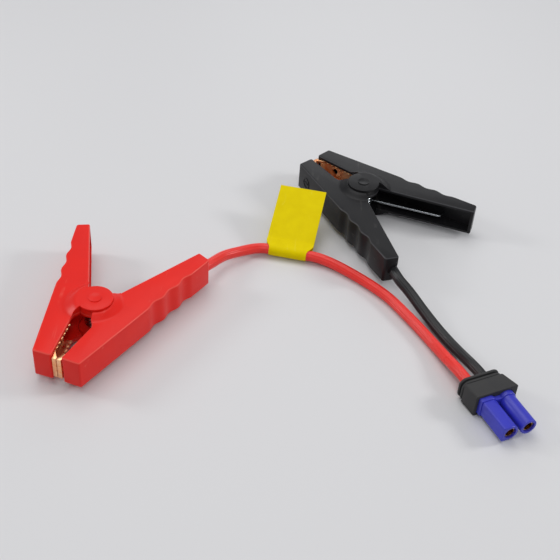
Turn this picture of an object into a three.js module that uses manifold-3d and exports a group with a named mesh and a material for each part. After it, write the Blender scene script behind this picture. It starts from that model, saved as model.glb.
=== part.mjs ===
// Pair of spring clamps for jump starting, with their two cables, a flag tag and a two-pole plug.
// Millimetres, Z up, the floor at z = 0. Each clamp lies flat on its lower pivot disc.
import * as THREE from 'three';
import { mergeVertices } from 'three/addons/utils/BufferGeometryUtils.js';
import Module from 'manifold-3d';

const FIT_GAP = 0.3;

// Clamp halves: x runs along the outer edge towards the nose, y outwards from the pivot.
const BODY_THICK = 17.2;
const WALL = 1.8;
const BACK_WALL = 2.4;
const RIM = 0.8;
const OUTER_EDGE = 24.4;
const NOSE_X = 38.3;
const NOSE_TIP = [40.8, 14.4];
const JAW_ROOT = [12.4, 10.3];
const TAIL_X = -66.6;
const TAIL_SKEW = 1.4;
const TAIL_INNER = { cable: 16.0, lever: 17.0 };
const HALF_ANGLE = THREE.MathUtils.degToRad(15.67);
// from the handle round the pivot into the throat between the jaws
const WAIST = {
  cable: [[-9.1, 3.5], [-2, 3], [7.2, 5.2], [11.2, 7.2], [12.8, 9.2], [14.8, 10.65]],
  lever: [[-9.1, 5.4], [-2, 3], [7.2, 6.5], [9.8, 9.4], [12.4, 10.3]],
};
const HOLLOW_REACH = 25;
const GRIP_START = -13.9;
const GRIP_PITCH = 12.5;
const GRIP_COUNT = 3;
const GRIP_DEPTH = 1.3;
const GRIP_STEPS = 8;

// Pivot: the round cheeks of the cable half inside, the discs of the lever outside.
const EAR_RADIUS = 9.7;
const COLLAR_RISE = 2.6;
const COLLAR_REACH = { cable: 5.6, lever: 8.2 };
const COLLAR_RINGS = 5;
const DISC_THICK = 1.1;
const BUTTON_RADIUS = 3.5;
const BUTTON_RISE = 0.5;
const PIN_RADIUS = 2.4;
const PIN_CAP = 0.6;
const ROUND_STEPS = 40;

// Copper jaws: a channel with toothed edges, closed at the nose.
const JAW_SHEET = 1.2;
const JAW_REAR = 15;
const JAW_DEPTH = 5;
const JAW_PROUD = 0.7;
const TOOTH_PITCH = 3.4;
const TOOTH_DEPTH = 1.0;
const TOOTH_COUNT = 6;
const TIP_THICK = 1.5;
const TIP_FRONT = 41.5;
const TIP_SETBACK = 0.1;
const TIP_RELIEF = 0.9;
const NOTCH_X = 38.5;
const NOTCH_SETBACK = 0.6;
const WEB_FRONT = 37.4;
const BITE_START = 0.6;
const JAW_HOLE_RADIUS = 1.8;
const JAW_HOLE_X = 28;

// Torsion spring round the pin.
const SPRING_WIRE = 1.8;
const SPRING_RADIUS = 5.6;
const SPRING_TURNS = 3;
const CABLE_LEG_Z = 4.3;
const LEVER_LEG_Z = -3.4;
const LEG_SLOPE = 13;
const LEG_LENGTH = 49.5;
const LEG_FOOT = 4.6;

// Cables and the crimp that holds each one in its jaw.
const CABLE_RADIUS = 3.1;
const CABLE_LINE = 17.4;
const CABLE_START = 8;
const CRIMP_WALL = 0.8;
const CRIMP_FROM = 6;
const CRIMP_TO = 16.5;
const EXIT_Y = 18.1;
const EXIT_DROP = 1.6;

// Raised ring and bar on the outer wall of the negative clamp.
const MARK_X = 28;
const MARK_RADIUS = 3.6;
const MARK_LINE = 0.6;
const MARK_BAR = [3.6, 0.8];
const MARK_RISE = 0.35;

// Where the clamps lie: pivot and the angle of the nose line, in degrees.
const RED_PIVOT = [-94.68, -59.06];
const RED_ANGLE = -106.68;
const BLACK_PIVOT = [49.14, 66.15];
const BLACK_ANGLE = 135.4;

// Middle line of each cable, from its jaw out of the tail and over the floor to the plug.
const RED_ROUTE = [
  [-84.3, -75.2, 12.6], [-68.2, -49.8, 12.6], [-56.3, -31.3, 12.3], [-48.6, -19.5, 11.6],
  [-43.7, -12.4, 11.0], [-38.8, -5.7, 10.1], [-31.9, 5.1, 7.8], [-22.9, 13.1, 5.6],
  [-14.6, 18.2, 4.5], [-9, 19.4, 4.3], [-1, 18.16, 4.3], [6.25, 16.95, 4.3],
  [13.5, 15.75, 4.3], [21.5, 14.42, 4.3], [30.8, 10.7, 3.9],
  [48.3, -1.0, 3.1], [63.7, -15.5, 3.1], [73.8, -29.6, 3.1], [81.2, -41.2, 3.1],
  [87.8, -52.6, 3.3], [93.8, -64.8, 4.9], [98.1, -73.8, 6.6], [101.0, -79.6, 7.0],
  [103.6, -85.0, 7.0], [105.4, -88.6, 7.0],
];
const BLACK_ROUTE = [
  [30.0, 64.5, 12.6], [44.9, 38.5, 12.6], [55.7, 19.2, 12.3], [62.6, 7.0, 11.6],
  [66.5, -0.8, 11.0], [70.1, -8.3, 10.1], [75.8, -15.7, 7.9], [83.1, -27.4, 5.2],
  [89.9, -38.8, 3.6], [96.3, -49.8, 3.3], [102.5, -61.5, 4.7], [106.3, -69.4, 6.4],
  [109.5, -75.3, 6.9], [112.1, -80.7, 7.0], [114.0, -84.3, 7.0],
];

// Flag tag, folded round the red cable and leaning back against the black clamp.
const TAG_MIDDLE = [5.36, 17.1, 4.3];
const TAG_ANGLE = -9.43;
const TAG_LEAN = 22;
const TAG_WIDTH = 28.5;
const TAG_REACH = 46;
const TAG_SHEET = 0.7;
const TAG_LOOP_WIDTH = 25;

// Plug: x runs out through the prongs, the boot rests on the floor.
const PLUG_PLACE = [109.45, -82.02];
const PLUG_ANGLE = -63.2;
const BOOT_HIGH = 14;
const BOOT_REAR_HIGH = 13;
const BOOT_WIDE = 25.4;
const BOOT_REAR_WIDE = 23.4;
const BOOT_SKEW = 1.8;
const BOOT_LENGTH = 14.8;
const RIB_THICK = 1.5;
const RIB_GAP = 1.1;
const CABLE_PITCH = 9.6;
const BOOT_BORE_DEPTH = 5;
const COLLAR_RADIUS = 5.2;
const COLLAR_OUT = 2.4;
const COLLAR_IN = 2.2;
const PRONG_RADIUS = 4.6;
const PRONG_PITCH = 11;
const PRONG_TIP = 36.4;
const SOCKET_RADIUS = 3.3;
const SOCKET_DEPTH = 14;
const CONTACT_WALL = 0.5;
const CONTACT_SUNK = 1.0;

const halfThick = BODY_THICK / 2;
const cavityHalf = halfThick - WALL;
const collarTop = halfThick + COLLAR_RISE;
const discUnder = collarTop + FIT_GAP;
const discTop = discUnder + DISC_THICK;
const midZ = discTop;

const wasm = await Module();
wasm.setup();

function solid(geometry) {
  const plain = geometry.clone();
  plain.deleteAttribute('normal');
  plain.deleteAttribute('uv');
  const merged = mergeVertices(plain, 1e-3);
  const vertProperties = new Float32Array(merged.attributes.position.array);
  const triVerts = new Uint32Array(merged.index.array);
  return new wasm.Manifold(new wasm.Mesh({ numProp: 3, vertProperties, triVerts }));
}

function surface(body) {
  const mesh = body.getMesh();
  const geometry = new THREE.BufferGeometry();
  geometry.setAttribute('position', new THREE.BufferAttribute(mesh.vertProperties, 3));
  geometry.setIndex(new THREE.BufferAttribute(mesh.triVerts, 1));
  geometry.computeVertexNormals();
  return geometry;
}

// A closed outline from corners [x, y, radius], each rounded by its radius.
function outline(corners) {
  const shape = new THREE.Shape();
  corners.forEach(([x, y, radius], index) => {
    const corner = new THREE.Vector2(x, y);
    if (!radius) {
      if (index === 0) shape.moveTo(x, y);
      else shape.lineTo(x, y);
      return;
    }
    const before = corners[(index + corners.length - 1) % corners.length];
    const after = corners[(index + 1) % corners.length];
    const toBefore = new THREE.Vector2(before[0], before[1]).sub(corner).normalize();
    const toAfter = new THREE.Vector2(after[0], after[1]).sub(corner).normalize();
    const reach = radius / Math.tan(Math.acos(toBefore.dot(toAfter)) / 2);
    const start = corner.clone().addScaledVector(toBefore, reach);
    const end = corner.clone().addScaledVector(toAfter, reach);
    if (index === 0) shape.moveTo(start.x, start.y);
    else shape.lineTo(start.x, start.y);
    shape.quadraticCurveTo(x, y, end.x, end.y);
  });
  shape.closePath();
  return shape;
}

// The shape raised from one height to another, its edges eased by rim.
function plate(shape, low, high, rim = 0) {
  const geometry = new THREE.ExtrudeGeometry(shape, {
    depth: high - low - 2 * rim,
    bevelEnabled: rim > 0,
    bevelThickness: rim,
    bevelSize: rim,
    bevelOffset: -rim,
    bevelSegments: 1,
    curveSegments: 3,
  });
  return geometry.translate(0, 0, low + rim);
}

function disc(radius, low, high, topRadius = radius, steps = ROUND_STEPS) {
  const geometry = new THREE.CylinderGeometry(topRadius, radius, high - low, steps);
  geometry.rotateX(Math.PI / 2);
  return geometry.translate(0, 0, (low + high) / 2);
}

// The same thing above and below the middle plane.
function bothSides(make) {
  const upper = make();
  return upper.add(upper.mirror([0, 0, 1]));
}

const half = (side) => (side > 0 ? 'cable' : 'lever');

// From the half's own frame to the clamp's: side 1 is the cable half, -1 the lever.
function inClamp([x, y], side) {
  const turned = new THREE.Vector2(x, y).rotateAround(new THREE.Vector2(), -HALF_ANGLE);
  return [turned.x, turned.y * side];
}

function placed(corners, side) {
  return corners.map(([x, y, radius = 0]) => [...inClamp([x, y], side), radius]);
}

function jawEdge(x) {
  const slope = (NOSE_TIP[1] - JAW_ROOT[1]) / (NOSE_TIP[0] - JAW_ROOT[0]);
  return JAW_ROOT[1] + slope * (x - JAW_ROOT[0]);
}

function noseFace(y) {
  return NOSE_X + (NOSE_TIP[0] - NOSE_X) * (OUTER_EDGE - y) / (OUTER_EDGE - NOSE_TIP[1]);
}

function seamLine(x) {
  return Math.tan(HALF_ANGLE) * x;
}

function halfOutline(side) {
  const grips = [];
  for (let i = 1; i < GRIP_COUNT * GRIP_STEPS; i++) {
    const along = i / GRIP_STEPS;
    const wave = Math.sin(Math.PI * along) ** 2;
    grips.push([GRIP_START - along * GRIP_PITCH, OUTER_EDGE - GRIP_DEPTH * wave]);
  }
  const corners = [
    [NOSE_X, OUTER_EDGE, 1.2],
    [GRIP_START, OUTER_EDGE],
    ...grips,
    [GRIP_START - GRIP_COUNT * GRIP_PITCH, OUTER_EDGE],
    [TAIL_X, OUTER_EDGE, 1.6],
    [TAIL_X - TAIL_SKEW, TAIL_INNER[half(side)], 1.2],
    ...WAIST[half(side)],
    [...NOSE_TIP, 1.2],
  ];
  return outline(placed(corners, side));
}

// The hollow between the two flanges, open towards the other half.
function hollowOutline(side) {
  const inset = WALL / Math.cos(HALF_ANGLE);
  const corners = [
    [noseFace(OUTER_EDGE - BACK_WALL) - inset, OUTER_EDGE - BACK_WALL],
    [TAIL_X + WALL, OUTER_EDGE - BACK_WALL],
    [TAIL_X + WALL - TAIL_SKEW, TAIL_INNER[half(side)]],
    [TAIL_X + WALL - TAIL_SKEW, -HOLLOW_REACH],
    [noseFace(-HOLLOW_REACH) - inset, -HOLLOW_REACH],
  ];
  return outline(placed(corners, side));
}

function shell(side) {
  const body = solid(plate(halfOutline(side), -halfThick, halfThick, RIM));
  return body.subtract(solid(plate(hollowOutline(side), -cavityHalf, cavityHalf)));
}

// A soft shoulder round the pivot that stands on the flange of one half only.
function collar(side, top) {
  const low = halfThick - RIM;
  const profile = [new THREE.Vector2(0, low), new THREE.Vector2(EAR_RADIUS + COLLAR_REACH[half(side)], low)];
  for (let i = COLLAR_RINGS; i >= 0; i--) {
    const along = i / COLLAR_RINGS;
    const fall = along * along * (3 - 2 * along);
    const height = top - (top - halfThick) * fall;
    profile.push(new THREE.Vector2(EAR_RADIUS + COLLAR_REACH[half(side)] * along, height));
  }
  profile.push(new THREE.Vector2(0, top));
  const shoulder = new THREE.LatheGeometry(profile, ROUND_STEPS).rotateX(Math.PI / 2);
  return solid(shoulder).intersect(solid(plate(halfOutline(side), 0, top + 1)));
}

function cableHandle(mark) {
  let body = shell(1);
  body = body.add(bothSides(() => collar(1, collarTop)));
  body = body.add(bothSides(() => solid(disc(EAR_RADIUS, cavityHalf, collarTop))));
  body = body.subtract(solid(disc(PIN_RADIUS + FIT_GAP, -midZ, midZ, undefined, 24)));
  // slot in the tail wall for the cable
  const slot = new THREE.Shape();
  const slotRadius = CABLE_RADIUS + FIT_GAP;
  slot.moveTo(EXIT_Y, slotRadius);
  slot.absarc(EXIT_Y, 0, slotRadius, Math.PI / 2, -Math.PI / 2, true);
  slot.lineTo(EXIT_Y - 12, -slotRadius);
  slot.lineTo(EXIT_Y - 12, slotRadius);
  const depth = WALL + TAIL_SKEW + 2;
  const cut = new THREE.ExtrudeGeometry(slot, { depth, bevelEnabled: false, curveSegments: 12 });
  cut.rotateX(Math.PI / 2).rotateZ(Math.PI / 2).translate(TAIL_X - TAIL_SKEW - 1, 0, -EXIT_DROP);
  cut.rotateZ(-HALF_ANGLE);
  body = body.subtract(solid(cut));
  return mark ? body.add(mark()) : body;
}

// Raised ring and bar on the outer wall near the nose: the negative side.
function minusMark() {
  const ring = new THREE.Shape();
  ring.absarc(0, 0, MARK_RADIUS, 0, Math.PI * 2);
  const inside = new THREE.Path();
  inside.absarc(0, 0, MARK_RADIUS - MARK_LINE, 0, Math.PI * 2, true);
  ring.holes.push(inside);
  const line = box(MARK_BAR[0], MARK_BAR[1], 0);
  const depth = 2 * MARK_RISE;
  const settings = { depth, bevelEnabled: false, curveSegments: 16 };
  let body = solid(new THREE.ExtrudeGeometry(ring, settings));
  body = body.add(solid(new THREE.ExtrudeGeometry(line, settings)));
  const geometry = surface(body);
  geometry.rotateX(-Math.PI / 2).translate(MARK_X, OUTER_EDGE - MARK_RISE, 0);
  return solid(geometry.rotateZ(-HALF_ANGLE));
}

function leverHandle() {
  let body = shell(-1);
  body = body.add(bothSides(() => collar(-1, discTop)));
  body = body.subtract(solid(disc(EAR_RADIUS + FIT_GAP, -discUnder, discUnder)));
  body = body.add(bothSides(() => solid(disc(EAR_RADIUS, discUnder, discTop))));
  body = body.add(solid(disc(BUTTON_RADIUS, discTop - 0.4, discTop + BUTTON_RISE, BUTTON_RADIUS - 0.3, 28)));
  const bore = PIN_RADIUS + FIT_GAP;
  return body.subtract(bothSides(() => solid(disc(bore, discUnder - 1, discTop - PIN_CAP + 0.1, undefined, 24))));
}

function jawOutline(side) {
  const edge = (x) => jawEdge(x) - JAW_PROUD;
  const bite = [];
  for (let i = 0; i < TOOTH_COUNT; i++) {
    const x = JAW_REAR + BITE_START + i * TOOTH_PITCH;
    bite.push([x, edge(x)], [x + TOOTH_PITCH / 2, edge(x + TOOTH_PITCH / 2) + TOOTH_DEPTH]);
  }
  const last = JAW_REAR + BITE_START + TOOTH_COUNT * TOOTH_PITCH;
  const seamBack = TIP_FRONT - TIP_THICK;
  const wallBack = (y) => noseFace(y) - (WALL + FIT_GAP) / Math.cos(HALF_ANGLE);
  const deep = (x) => jawEdge(x) + JAW_DEPTH;
  const corners = [
    [JAW_REAR, edge(JAW_REAR)],
    ...bite,
    [last, edge(last)],
    [seamBack, seamLine(seamBack) + FIT_GAP / 2],
    [TIP_FRONT, seamLine(TIP_FRONT) + FIT_GAP / 2],
    [NOSE_TIP[0] - TIP_SETBACK, NOSE_TIP[1] - FIT_GAP - TIP_SETBACK / 2],
    [wallBack(NOSE_TIP[1]), jawEdge(wallBack(NOSE_TIP[1])) - FIT_GAP],
    [wallBack(deep(WEB_FRONT)), deep(WEB_FRONT)],
    [JAW_REAR, deep(JAW_REAR)],
  ];
  return outline(placed(corners, side));
}

function jaw(side) {
  const jawHalf = cavityHalf - FIT_GAP;
  let body = solid(plate(jawOutline(side), -jawHalf, jawHalf));
  const webInner = (x) => jawEdge(x) + JAW_DEPTH - JAW_SHEET;
  const tipBack = TIP_FRONT - TIP_THICK;
  const webEnd = WEB_FRONT - JAW_SHEET;
  const channel = outline(placed([
    [JAW_REAR - 3, webInner(JAW_REAR - 3)],
    [webEnd, webInner(webEnd)],
    [tipBack - TIP_RELIEF, jawEdge(tipBack) - 0.4],
    [tipBack, seamLine(tipBack) - 3],
    [JAW_REAR - 3, -6],
  ], side));
  body = body.subtract(solid(plate(channel, -jawHalf + JAW_SHEET, jawHalf - JAW_SHEET)));
  // notches across the tip, so that the seam closes in a zigzag
  const notch = outline([[-TOOTH_DEPTH, 0, 0], [1, -TOOTH_PITCH / 2, 0], [1, TOOTH_PITCH / 2, 0]]);
  for (let i = -1.5; i <= 1.5; i++) {
    const cut = new THREE.ExtrudeGeometry(notch, { depth: 6, bevelEnabled: false });
    cut.rotateX(Math.PI / 2).rotateZ(-Math.PI / 2).translate(NOTCH_X, -side * NOTCH_SETBACK, i * TOOTH_PITCH);
    if (side < 0) cut.rotateX(Math.PI);
    body = body.subtract(solid(cut));
  }
  // hole through the web
  const [holeX, holeY] = inClamp([JAW_HOLE_X, webInner(JAW_HOLE_X)], side);
  const hole = new THREE.CylinderGeometry(JAW_HOLE_RADIUS, JAW_HOLE_RADIUS, 5, 16);
  hole.rotateZ(side * (Math.atan2(NOSE_TIP[1] - JAW_ROOT[1], NOSE_TIP[0] - JAW_ROOT[0]) - HALF_ANGLE));
  body = body.subtract(solid(hole.translate(holeX, holeY, 0)));
  return side > 0 ? body.add(crimp()) : body;
}

// Barrel at the rear of the jaw, pressed round the cable.
function crimp() {
  const bore = CABLE_RADIUS + FIT_GAP;
  const length = CRIMP_TO - CRIMP_FROM;
  const barrel = new THREE.CylinderGeometry(bore + CRIMP_WALL, bore + CRIMP_WALL, length, 20);
  const inside = new THREE.CylinderGeometry(bore, bore, length + 1, 20);
  const body = solid(barrel).subtract(solid(inside));
  const geometry = surface(body);
  geometry.rotateZ(Math.PI / 2).translate((CRIMP_FROM + CRIMP_TO) / 2, CABLE_LINE, 0);
  return solid(geometry.rotateZ(-HALF_ANGLE));
}

function springPath() {
  const legAngle = Math.PI - THREE.MathUtils.degToRad(LEG_SLOPE) - HALF_ANGLE;
  const meet = legAngle - Math.PI / 2;
  const leg = (side) => {
    const along = new THREE.Vector3(Math.cos(legAngle), side * Math.sin(legAngle), 0);
    const out = new THREE.Vector3(Math.cos(meet), side * Math.sin(meet), 0);
    const root = out.clone().multiplyScalar(SPRING_RADIUS).setZ(side > 0 ? CABLE_LEG_Z : LEVER_LEG_Z);
    const reach = (distance, lift = 0) => root.clone().addScaledVector(along, distance).addScaledVector(out, lift);
    return [reach(LEG_LENGTH + 0.6, LEG_FOOT), reach(LEG_LENGTH, 1), reach(LEG_LENGTH - 1.5), reach(LEG_LENGTH / 2), reach(3)];
  };
  const sweep = 2 * meet + SPRING_TURNS * Math.PI * 2;
  const steps = 12 * SPRING_TURNS + 4;
  const coil = [];
  for (let i = 0; i <= steps; i++) {
    const angle = -meet + sweep * i / steps;
    const height = LEVER_LEG_Z + (CABLE_LEG_Z - LEVER_LEG_Z) * i / steps;
    coil.push(new THREE.Vector3(SPRING_RADIUS * Math.cos(angle), SPRING_RADIUS * Math.sin(angle), height));
  }
  return new THREE.CatmullRomCurve3([...leg(-1), ...coil, ...leg(1).reverse()]);
}

function round(radius) {
  const shape = new THREE.Shape();
  shape.absarc(0, 0, radius, 0, Math.PI * 2);
  return shape;
}

function rod(path, radius, steps, sides) {
  return new THREE.ExtrudeGeometry(round(radius), {
    steps,
    curveSegments: sides,
    bevelEnabled: false,
    extrudePath: path,
  });
}

const red = { color: 0xd8372e, roughness: 0.45, metalness: 0 };
const black = { color: 0x2c2c2f, roughness: 0.5, metalness: 0 };
const copper = { color: 0xc07a4a, roughness: 0.3, metalness: 1 };
const steel = { color: 0xb8babd, roughness: 0.25, metalness: 1 };

function piece(name, geometry, look) {
  const mesh = new THREE.Mesh(geometry, new THREE.MeshStandardMaterial(look));
  mesh.name = name;
  return mesh;
}

function clamp(prefix, look, pivot, angle, mark) {
  const group = new THREE.Group();
  const pinHalf = discTop - PIN_CAP - FIT_GAP;
  group.add(piece(`${prefix}_cable_handle`, surface(cableHandle(mark)), look));
  group.add(piece(`${prefix}_lever_handle`, surface(leverHandle()), look));
  group.add(piece(`${prefix}_cable_jaw`, surface(jaw(1)), copper));
  group.add(piece(`${prefix}_lever_jaw`, surface(jaw(-1)), copper));
  group.add(piece(`${prefix}_pivot_pin`, disc(PIN_RADIUS, -pinHalf, pinHalf, undefined, 20), steel));
  group.add(piece(`${prefix}_spring`, rod(springPath(), SPRING_WIRE / 2, 84, 3), steel));
  group.position.set(pivot[0], pivot[1], midZ);
  group.rotation.z = THREE.MathUtils.degToRad(angle);
  return group;
}

function cable(name, look, route) {
  const path = new THREE.CatmullRomCurve3(route.map((point) => new THREE.Vector3(...point)), false, 'centripetal');
  return piece(name, rod(path, CABLE_RADIUS, 40, 4), look);
}

// From a drawing in the y-z plane to a bar along x.
function bar(shape, from, to, curveSegments = 10) {
  const geometry = new THREE.ExtrudeGeometry(shape, { depth: to - from, bevelEnabled: false, curveSegments });
  return geometry.rotateX(Math.PI / 2).rotateZ(Math.PI / 2).translate(from, 0, 0);
}

function box(wide, high, radius) {
  const x = wide / 2;
  const y = high / 2;
  return outline([[-x, -y, radius], [x, -y, radius], [x, y, radius], [-x, y, radius]]);
}

function cableTag() {
  const loop = round(CABLE_RADIUS + FIT_GAP + TAG_SHEET);
  const inside = new THREE.Path();
  inside.absarc(0, 0, CABLE_RADIUS + FIT_GAP, 0, Math.PI * 2, true);
  loop.holes.push(inside);
  const from = CABLE_RADIUS + FIT_GAP + TAG_SHEET / 2;
  const flag = plate(box(TAG_WIDTH, TAG_REACH - from, 1.5), -TAG_SHEET / 2, TAG_SHEET / 2);
  flag.translate(0, (from + TAG_REACH) / 2, 0).rotateX(THREE.MathUtils.degToRad(TAG_LEAN));
  const body = solid(bar(loop, -TAG_LOOP_WIDTH / 2, TAG_LOOP_WIDTH / 2)).add(solid(flag));
  const mesh = piece('cable_tag', surface(body), { color: 0xe6d200, roughness: 0.4, metalness: 0 });
  mesh.position.set(...TAG_MIDDLE);
  mesh.rotation.z = THREE.MathUtils.degToRad(TAG_ANGLE);
  return mesh;
}

// Outline of a pair of prongs side by side: the outer half of the first one is square.
function pairOutline(radius, from, to) {
  const middle = PRONG_PITCH / 2;
  const first = round(radius);
  const second = bar(round(radius), from, to).translate(0, middle, 0);
  const square = outline([[-radius, -radius, 0.8], [0, -radius, 0], [0, radius, 0], [-radius, radius, 0.8]]);
  let body = solid(bar(first, from, to).translate(0, -middle, 0)).add(solid(second));
  body = body.add(solid(bar(square, from, to).translate(0, -middle, 0)));
  return body;
}

function collarPair(radius, from, to) {
  const waist = bar(box(PRONG_PITCH, radius * 1.3, 0), from, to);
  return pairOutline(radius, from, to).add(solid(waist));
}

function plugBoot() {
  const ribs = 2 * RIB_THICK + RIB_GAP;
  const plan = outline([
    [ribs - 0.1, -BOOT_REAR_WIDE / 2 - BOOT_SKEW, 0],
    [BOOT_LENGTH, -BOOT_WIDE / 2, 0.8],
    [BOOT_LENGTH, BOOT_WIDE / 2, 0.8],
    [ribs - 0.1, BOOT_REAR_WIDE / 2 - BOOT_SKEW, 0],
  ]);
  const side = outline([
    [ribs - 0.1, -BOOT_REAR_HIGH / 2, 0],
    [BOOT_LENGTH, -BOOT_HIGH / 2, 0.6],
    [BOOT_LENGTH, BOOT_HIGH / 2, 0.6],
    [ribs - 0.1, BOOT_REAR_HIGH / 2, 0],
  ]);
  let body = solid(plate(plan, -BOOT_HIGH, BOOT_HIGH));
  const sideBar = plate(side, -BOOT_WIDE, BOOT_WIDE).rotateX(Math.PI / 2);
  body = body.intersect(solid(sideBar));
  const skewed = (shape, from, to) => solid(bar(shape, from, to)).translate([0, -BOOT_SKEW, 0]);
  const rib = box(BOOT_REAR_WIDE + 0.4, BOOT_REAR_HIGH, 4);
  body = body.add(skewed(rib, 0, RIB_THICK));
  body = body.add(skewed(rib, RIB_THICK + RIB_GAP, ribs));
  body = body.add(skewed(box(BOOT_REAR_WIDE - 2, BOOT_REAR_HIGH - 3, 3), RIB_THICK / 2, ribs + 1));
  for (const y of [-CABLE_PITCH / 2, CABLE_PITCH / 2]) {
    body = body.subtract(skewed(round(CABLE_RADIUS + FIT_GAP), -1, BOOT_BORE_DEPTH).translate([0, y, 0]));
  }
  const pocket = collarPair(COLLAR_RADIUS + FIT_GAP, BOOT_LENGTH - COLLAR_IN - FIT_GAP, BOOT_LENGTH + 1);
  return body.subtract(pocket);
}

function plugHousing() {
  const collarEnd = BOOT_LENGTH + COLLAR_OUT;
  let body = collarPair(COLLAR_RADIUS, BOOT_LENGTH - COLLAR_IN, collarEnd);
  body = body.add(pairOutline(PRONG_RADIUS, collarEnd - 1, PRONG_TIP));
  for (const y of [-PRONG_PITCH / 2, PRONG_PITCH / 2]) {
    const socket = bar(round(SOCKET_RADIUS), PRONG_TIP - SOCKET_DEPTH, PRONG_TIP + 1).translate(0, y, 0);
    body = body.subtract(solid(socket));
  }
  return body;
}

function plugContact(y) {
  const from = PRONG_TIP - SOCKET_DEPTH + FIT_GAP;
  const to = PRONG_TIP - CONTACT_SUNK;
  const outer = SOCKET_RADIUS - FIT_GAP;
  const tube = solid(bar(round(outer), from, to)).subtract(solid(bar(round(outer - CONTACT_WALL), from + 1, to + 1)));
  return surface(tube.translate([0, y, 0]));
}

function plug() {
  const group = new THREE.Group();
  const rubber = { color: 0x262628, roughness: 0.75, metalness: 0 };
  const blue = { color: 0x3338b0, roughness: 0.4, metalness: 0 };
  const gold = { color: 0xd8a33a, roughness: 0.25, metalness: 1 };
  group.add(piece('plug_boot', surface(plugBoot()), rubber));
  group.add(piece('plug_housing', surface(plugHousing()), blue));
  group.add(piece('plug_contact_red', plugContact(-PRONG_PITCH / 2), gold));
  group.add(piece('plug_contact_black', plugContact(PRONG_PITCH / 2), gold));
  group.position.set(PLUG_PLACE[0], PLUG_PLACE[1], BOOT_HIGH / 2);
  group.rotation.z = THREE.MathUtils.degToRad(PLUG_ANGLE);
  return group;
}

const model = new THREE.Group();
model.add(clamp('red', red, RED_PIVOT, RED_ANGLE));
model.add(clamp('black', black, BLACK_PIVOT, BLACK_ANGLE, minusMark));
model.add(cable('red_cable', red, RED_ROUTE));
model.add(cable('black_cable', black, BLACK_ROUTE));
model.add(cableTag());
model.add(plug());

export default model;
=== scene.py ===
import math

import bmesh
import bpy
from mathutils import Matrix, Vector, noise


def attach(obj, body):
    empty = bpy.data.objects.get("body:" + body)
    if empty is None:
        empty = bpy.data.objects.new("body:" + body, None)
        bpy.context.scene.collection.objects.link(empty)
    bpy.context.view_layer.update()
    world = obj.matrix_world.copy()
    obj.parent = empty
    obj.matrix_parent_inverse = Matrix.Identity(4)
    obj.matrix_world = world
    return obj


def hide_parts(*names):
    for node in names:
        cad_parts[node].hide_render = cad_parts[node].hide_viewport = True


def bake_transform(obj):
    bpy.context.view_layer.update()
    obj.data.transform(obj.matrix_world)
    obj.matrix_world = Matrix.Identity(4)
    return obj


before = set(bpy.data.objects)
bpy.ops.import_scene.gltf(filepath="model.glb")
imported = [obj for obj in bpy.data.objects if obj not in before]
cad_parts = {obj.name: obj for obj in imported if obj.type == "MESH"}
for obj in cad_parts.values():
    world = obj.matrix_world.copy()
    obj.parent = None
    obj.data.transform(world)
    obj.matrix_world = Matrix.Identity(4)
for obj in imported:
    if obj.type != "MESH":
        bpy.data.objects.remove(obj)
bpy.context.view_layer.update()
print("frame loaded:", len(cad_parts), "nodes")

mm = 0.001  # shapes are drawn in millimetres and scaled down when they go to their place


# camera, floor and light

cameraSetup = {"place": (1.791, -461.902, 385.87), "tilt": 49.887, "roll": 4.1, "lens": 66.0}

bpy.ops.object.camera_add(location=Vector(cameraSetup["place"]) * mm)
photoCamera = bpy.context.object
photoCamera.name = "photoCamera"
tilted = Matrix.Rotation(math.radians(cameraSetup["tilt"]), 3, "X")
rolled = Matrix.Rotation(math.radians(cameraSetup["roll"]), 3, "Z")
photoCamera.rotation_euler = (tilted @ rolled).to_euler()
photoCamera.data.lens = cameraSetup["lens"]
photoCamera.data.sensor_width = 36
photoCamera.data.clip_start = 0.02
bpy.context.scene.camera = photoCamera

studio = {
    "floorSize": 5.0,
    "floorHeight": -0.00004,  # a hair under the part
    "sky": (0.86, 0.87, 0.9),
    "skyStrength": 0.42,
    # name, place, aimed at, size, power, colour
    "lamps": [
        ("topSoftbox", (-0.2, 0.3, 1.15), (0, 0, 0), 0.9, 4.9, (1.0, 0.99, 0.97)),
        ("backStrip", (0.1, 1.1, 0.5), (0, 0, 0), 0.5, 0.8, (0.97, 0.98, 1.0)),
        ("frontFill", (0.05, -0.75, 1.0), (0, 0, 0), 0.18, 1.7, (1.0, 1.0, 1.0)),
        ("rightStrip", (0.95, 0.1, 0.55), (0, -0.05, 0), 0.22, 3.2, (1.0, 1.0, 1.0)),
        ("leftStrip", (-0.9, 0.1, 0.5), (0, 0.05, 0), 0.22, 1.8, (1.0, 1.0, 1.0)),
    ],
}

bpy.ops.object.select_all(action="DESELECT")
bpy.ops.mesh.primitive_plane_add(size=studio["floorSize"], location=(0, 0, studio["floorHeight"]))
floor = bpy.context.object
floor.name = "floor"

world = bpy.data.worlds.new("paleSky")
bpy.context.scene.world = world
world.use_nodes = True
sky = world.node_tree.nodes["Background"]
sky.inputs["Color"].default_value = (*studio["sky"], 1)
sky.inputs["Strength"].default_value = studio["skyStrength"]

for lampName, place, aim, size, power, colour in studio["lamps"]:
    bpy.ops.object.light_add(type="AREA", location=place)
    lamp = bpy.context.object
    lamp.name = lampName
    lamp.rotation_euler = (Vector(aim) - Vector(place)).to_track_quat("-Z", "Y").to_euler()
    lamp.data.shape = "SQUARE"
    lamp.data.size = size
    lamp.data.energy = power
    lamp.data.color = colour

bpy.context.scene.view_settings.view_transform = "Standard"
print("camera, floor and light ready")


# shared looks: grain and wear are node groups, each material sets its own amounts


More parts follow.
